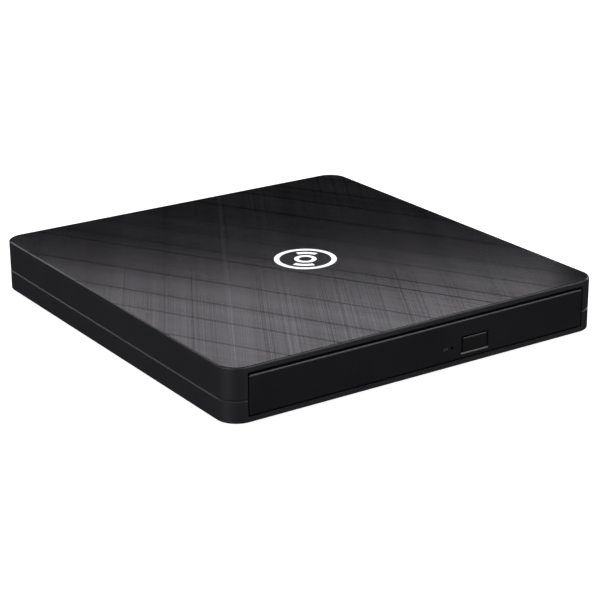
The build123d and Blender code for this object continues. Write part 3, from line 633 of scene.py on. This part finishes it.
# %% Helpers for pieces
def as_piece(shape, name, body, slot, smooth_angle=35.0):
    """Turns a bmesh into an object with its faces outwards, which rides on a body if one is given."""
    bmesh.ops.remove_doubles(shape, verts=shape.verts, dist=0.0005 * MM)
    bmesh.ops.recalc_face_normals(shape, faces=shape.faces)
    for face in shape.faces:
        face.smooth = True
    mesh = bpy.data.meshes.new(name)
    shape.to_mesh(mesh)
    shape.free()
    mesh.set_sharp_from_angle(angle=radians(smooth_angle))
    mesh.materials.append(FINISHES[slot])
    piece = bpy.data.objects.new(name, mesh)
    bpy.context.scene.collection.objects.link(piece)
    if body:
        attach(piece, body)
    print(name, len(mesh.polygons), "faces")
    return piece


BAND_STEPS = 64


def turned_band(shape, centre, inner, outer, bottom, top, start, sweep):
    """A flat ring, or a part of one, about an upright line through centre."""
    corners = ((inner, bottom), (outer, bottom), (outer, top), (inner, top))
    direction = Vector((cos(radians(start)), sin(radians(start)), 0))
    made = [shape.verts.new(Vector(centre) + direction * r + Vector((0, 0, z))) for r, z in corners]
    edges = [shape.edges.new((made[i], made[(i + 1) % 4])) for i in range(4)]
    whole = sweep >= 360
    bmesh.ops.spin(
        shape, geom=made + edges, cent=centre, axis=(0, 0, 1),
        angle=radians(sweep), steps=BAND_STEPS, use_merge=whole,
    )
    if not whole:
        bmesh.ops.holes_fill(shape, edges=[e for e in shape.edges if e.is_boundary], sides=4)


# %% The disc sign
MARK_PLACE = Vector((3 * MM, -5 * MM, case_high.z))
MARK_SUNK, MARK_THICK = 0.005 * MM, 0.03 * MM
MARK_BANDS = (  # inner and outer radius in millimetres, then start and sweep in degrees
    (8.8, 10.6, 0, 360),
    (2.2, 3.8, 0, 360),
    (5.3, 7.2, 20, 62),
    (5.3, 7.2, 200, 62),
)
sign = bmesh.new()
for inner, outer, start, sweep in MARK_BANDS:
    turned_band(sign, MARK_PLACE, inner * MM, outer * MM, -MARK_SUNK, MARK_THICK, start, sweep)
as_piece(sign, "disc_sign", "case", "white_print")

# %% [markdown]
# ## The feed screw and the pusher's spring
# Both are helices. A helix is a profile that turns about an axis while it moves along it, so one function
# makes them: a spin with a small step forward each time. The screw has a 3 mm lead, which is why the
# pickup needs about a dozen turns to cross the disc. The spring sits in a housing at the back of the tray,
# round the thin end of the pusher's rod, and grows longer as the rod comes out.

# %% Helices
def helix(shape, profile, advance, turns, capped, steps_per_turn=20):
    """Sweeps a profile, points (x, r), round the X axis and along it, and caps its two ends."""
    made = [shape.verts.new((x, 0, r)) for x, r in profile]
    edges = [shape.edges.new(pair) for pair in zip(made, made[1:])]
    steps = round(turns * steps_per_turn)
    swept = bmesh.ops.spin(
        shape, geom=made + edges, cent=(0, 0, 0), axis=(1, 0, 0), angle=2 * pi * turns, steps=steps,
        dvec=(advance * turns / steps, 0, 0), use_merge=False,
    )
    ends = [v for v in swept["geom_last"] if isinstance(v, bmesh.types.BMVert)]

    def end_point(x, r):
        """The last vertex that the profile's point turned into."""
        return min(ends, key=lambda v: abs(v.co.x - x - advance * turns) + abs(hypot(v.co.y, v.co.z) - r))

    shape.faces.new(made[capped])
    shape.faces.new([end_point(x, r) for x, r in profile[capped]])


BAR_STEPS = 24


def turned_bar(shape, outline):
    """A bar turned about the X axis from its outline, points (x, r), with flat ends."""
    points = [(outline[0][0], 0.0), *outline, (outline[-1][0], 0.0)]
    made = [shape.verts.new((x, 0, r)) for x, r in points]
    edges = [shape.edges.new(pair) for pair in zip(made, made[1:])]
    bmesh.ops.spin(
        shape, geom=made + edges, cent=(0, 0, 0), axis=(1, 0, 0),
        angle=2 * pi, steps=BAR_STEPS, use_merge=True,
    )


SPINDLE = Vector((0, -9 * MM, 0))
TRAVERSE_TURN = radians(225)  # the pickup travels from the disc's middle to the front left corner
traverse = Matrix.Translation(SPINDLE) @ Matrix.Rotation(TRAVERSE_TURN, 4, "Z")

SCREW_V, SCREW_Z = 24.5 * MM, 6.8 * MM
SCREW_IN, SCREW_OUT, LEAD = 7.0 * MM, 50.9 * MM, 3.0 * MM
CORE, CREST, JOURNAL = 0.82 * MM, 1.08 * MM, 0.69 * MM  # radii
JOURNAL_LENGTH, COLLAR_END, CORE_START = 1 * MM, 2.4 * MM, 2.6 * MM  # from either end of the screw
THREAD_TURNS, THREAD_FROM = 12.4, 1.6 * MM
bar_radius = CORE * 0.98  # just under the thread's root, so that no faces coincide
thread = bmesh.new()
tooth = [(0.0, CORE), (0.30, CORE), (0.42, CREST), (0.58, CREST), (0.70, CORE), (1.0, CORE)]
thread_start = SCREW_IN + THREAD_FROM
helix(thread, [(thread_start + share * LEAD, r) for share, r in tooth], LEAD, THREAD_TURNS, slice(1, 5))
half_bar = [  # distance from the end, then radius
    (0, JOURNAL), (JOURNAL_LENGTH, JOURNAL), (JOURNAL_LENGTH, CREST),
    (COLLAR_END, CREST), (CORE_START, bar_radius),
]
near_half = [(SCREW_IN + x, r) for x, r in half_bar]
far_half = [(SCREW_OUT - x, r) for x, r in reversed(half_bar)]
turned_bar(thread, near_half + far_half)
bmesh.ops.transform(thread, verts=thread.verts, matrix=traverse @ Matrix.Translation((0, SCREW_V, SCREW_Z)))
screw = as_piece(thread, "feed_thread", "feed_screw", slot_of["lead_screw"])
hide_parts("lead_screw")

PUSHER_X, PUSHER_Z = -48.0 * MM, 6.9 * MM
SPRING_FROM, SPRING_TO = 27.6 * MM, 36.9 * MM
WIRE, COIL = 0.17 * MM, 1.56 * MM  # radii
SPRING_TURNS, SPRING_STEPS, WIRE_SIDES = 8, 24, 8
coil = bmesh.new()
wire_angles = [2 * pi * i / WIRE_SIDES for i in range(WIRE_SIDES + 1)]
wire_round = [(WIRE * (1 + cos(angle)), COIL + WIRE * sin(angle)) for angle in wire_angles]
spring_pitch = (SPRING_TO - SPRING_FROM - 2 * WIRE) / SPRING_TURNS
helix(coil, wire_round, spring_pitch, SPRING_TURNS, slice(0, WIRE_SIDES), SPRING_STEPS)
along_y = Matrix.Translation((PUSHER_X, SPRING_FROM, PUSHER_Z)) @ Matrix.Rotation(pi / 2, 4, "Z")
bmesh.ops.transform(coil, verts=coil.verts, matrix=along_y)
spring = as_piece(coil, "pusher_coil", None, slot_of["pusher_spring"])
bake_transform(spring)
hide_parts("pusher_spring")

# %% [markdown]
# ## The ribbon cable
# A flat film cable joins the fixed board to the tray. Its lower run lies on the drive's floor and turns
# back in one bend; its upper run goes with the tray. So the lower run and the bend ride on the case, and
# the upper run is divided finely along its length but rides on no body.

# %% Ribbon
RIBBON_LEFT, RIBBON_RIGHT = 24.0 * MM, 38.0 * MM
LOW_RUN, HIGH_RUN, FILM_THICK = 3.65 * MM, 5.60 * MM, 0.15 * MM
BEND_Y, LOW_END, HIGH_END = -28 * MM, 50 * MM, 38 * MM
RIBBON_THICK = FILM_THICK * 0.8  # a little less than its solid has
RIBBON_STEPS, BEND_STEPS = 44, 12
RIBBON_DROP = 0.10 * MM


def ribbon(name, body, line):
    """A thin film that is as wide as the cable and follows a line of (y, z)."""
    shape = bmesh.new()
    rows = [[shape.verts.new((x, y, z)) for x in (RIBBON_LEFT, RIBBON_RIGHT)] for y, z in line]
    for near, far in zip(rows, rows[1:]):
        shape.faces.new((near[0], near[1], far[1], far[0]))
    bmesh.ops.recalc_face_normals(shape, faces=shape.faces)
    bmesh.ops.solidify(shape, geom=shape.faces[:], thickness=RIBBON_THICK)
    return as_piece(shape, name, body, "film", 60)


bend_middle, bend_radius = (LOW_RUN + HIGH_RUN + FILM_THICK) / 2, (HIGH_RUN - LOW_RUN) / 2
bend_angles = [pi * i / BEND_STEPS for i in range(BEND_STEPS + 1)]
half_turn = [
    (BEND_Y - bend_radius * sin(angle), bend_middle - bend_radius * cos(angle)) for angle in bend_angles
]
low_ribbon = ribbon("ribbon_low", "case", [(LOW_END, half_turn[0][1]), *half_turn])
high_line = [
    (BEND_Y + (HIGH_END - BEND_Y) * i / RIBBON_STEPS, half_turn[-1][1] - RIBBON_DROP * i / RIBBON_STEPS)
    for i in range(RIBBON_STEPS + 1)
]
high_ribbon = ribbon("ribbon_high", None, high_line)
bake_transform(high_ribbon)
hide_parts("flex_cable")
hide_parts("flex_cable")

# %% [markdown]
# ## The pickup's fine parts
# The lens holder floats in its carriage between two small magnets, and coils on its sides push it up and
# down against them. They are seen through the slot in the dust cover, so they are worth modelling: a bare
# block there reads as unfinished. The thin wires that would carry the holder are left out.

# %% Coils and magnets
LENS_U = 23.5 * MM
COIL_V, COIL_Z, COIL_ROUNDING = 4.80 * MM, 9.5 * MM, 0.2 * MM
COIL_SIZE = (3.6 * MM, 0.58 * MM, 1.5 * MM)
MAGNET_V, MAGNET_Z, MAGNET_ROUNDING = 6.30 * MM, 9.35 * MM, 0.15 * MM
MAGNET_SIZE = (4.2 * MM, 1.0 * MM, 2.2 * MM)
LEVEL = 1e-9  # metres: an edge that rises less than this is level


def rounded_slab(shape, u, v, z, size, radius):
    """A block with rounded upright edges, centred on a point of the pickup's own frame."""
    made = bmesh.ops.create_cube(shape, size=1.0)["verts"]
    bmesh.ops.scale(shape, verts=made, vec=size)
    around = {edge for corner in made for edge in corner.link_edges}
    upright = [edge for edge in around if abs(edge.verts[0].co.z - edge.verts[1].co.z) > LEVEL]
    fresh = bmesh.ops.bevel(shape, geom=upright, offset=radius, segments=3, affect="EDGES")["verts"]
    every = {corner for corner in made if corner.is_valid} | set(fresh)
    bmesh.ops.translate(shape, verts=list(every), vec=(u, v, z))


coils, magnets = bmesh.new(), bmesh.new()
for side in (-1, 1):
    rounded_slab(coils, LENS_U, side * COIL_V, COIL_Z, COIL_SIZE, COIL_ROUNDING)
    rounded_slab(magnets, LENS_U, side * MAGNET_V, MAGNET_Z, MAGNET_SIZE, MAGNET_ROUNDING)
for shape, name, body, slot in (
    (coils, "lens_coils", "lens", "copper"), (magnets, "lens_magnets", "sled", "magnet"),
):
    bmesh.ops.transform(shape, verts=shape.verts, matrix=traverse)
    as_piece(shape, name, body, slot)

# %% [markdown]
# ## The pickup's floor
# With the tray out, the slot in the dust cover would show whatever the drive stands on, so a thin plate
# under the pickup's frame closes the view. It lies just under the carriage, above the stiffening beads of
# the drive's pan, and its outer end is turned up.

# %% Floor plate
PLATE_IN, PLATE_OUT, PLATE_HALF = 9.0 * MM, 63.9 * MM, 15.0 * MM
PLATE_LOW, PLATE_HIGH = 3.90 * MM, 4.02 * MM
LIP_HALF, LIP_THICK, LIP_HIGH = 11.0 * MM, 0.28 * MM, 7.4 * MM
PLATE_ROUNDING, LIP_ROUNDING = 3 * MM, 0.1 * MM
plate = bmesh.new()
rounded_slab(
    plate, (PLATE_IN + PLATE_OUT) / 2, 0, (PLATE_LOW + PLATE_HIGH) / 2,
    (PLATE_OUT - PLATE_IN, 2 * PLATE_HALF, PLATE_HIGH - PLATE_LOW), PLATE_ROUNDING,
)
rounded_slab(
    plate, PLATE_OUT - LIP_THICK / 2, 0, (PLATE_LOW + LIP_HIGH) / 2,
    (LIP_THICK, 2 * LIP_HALF, LIP_HIGH - PLATE_LOW), LIP_ROUNDING,
)
bmesh.ops.transform(plate, verts=plate.verts, matrix=traverse)
as_piece(plate, "pickup_floor", "tray_assembly", "dark_plastic")
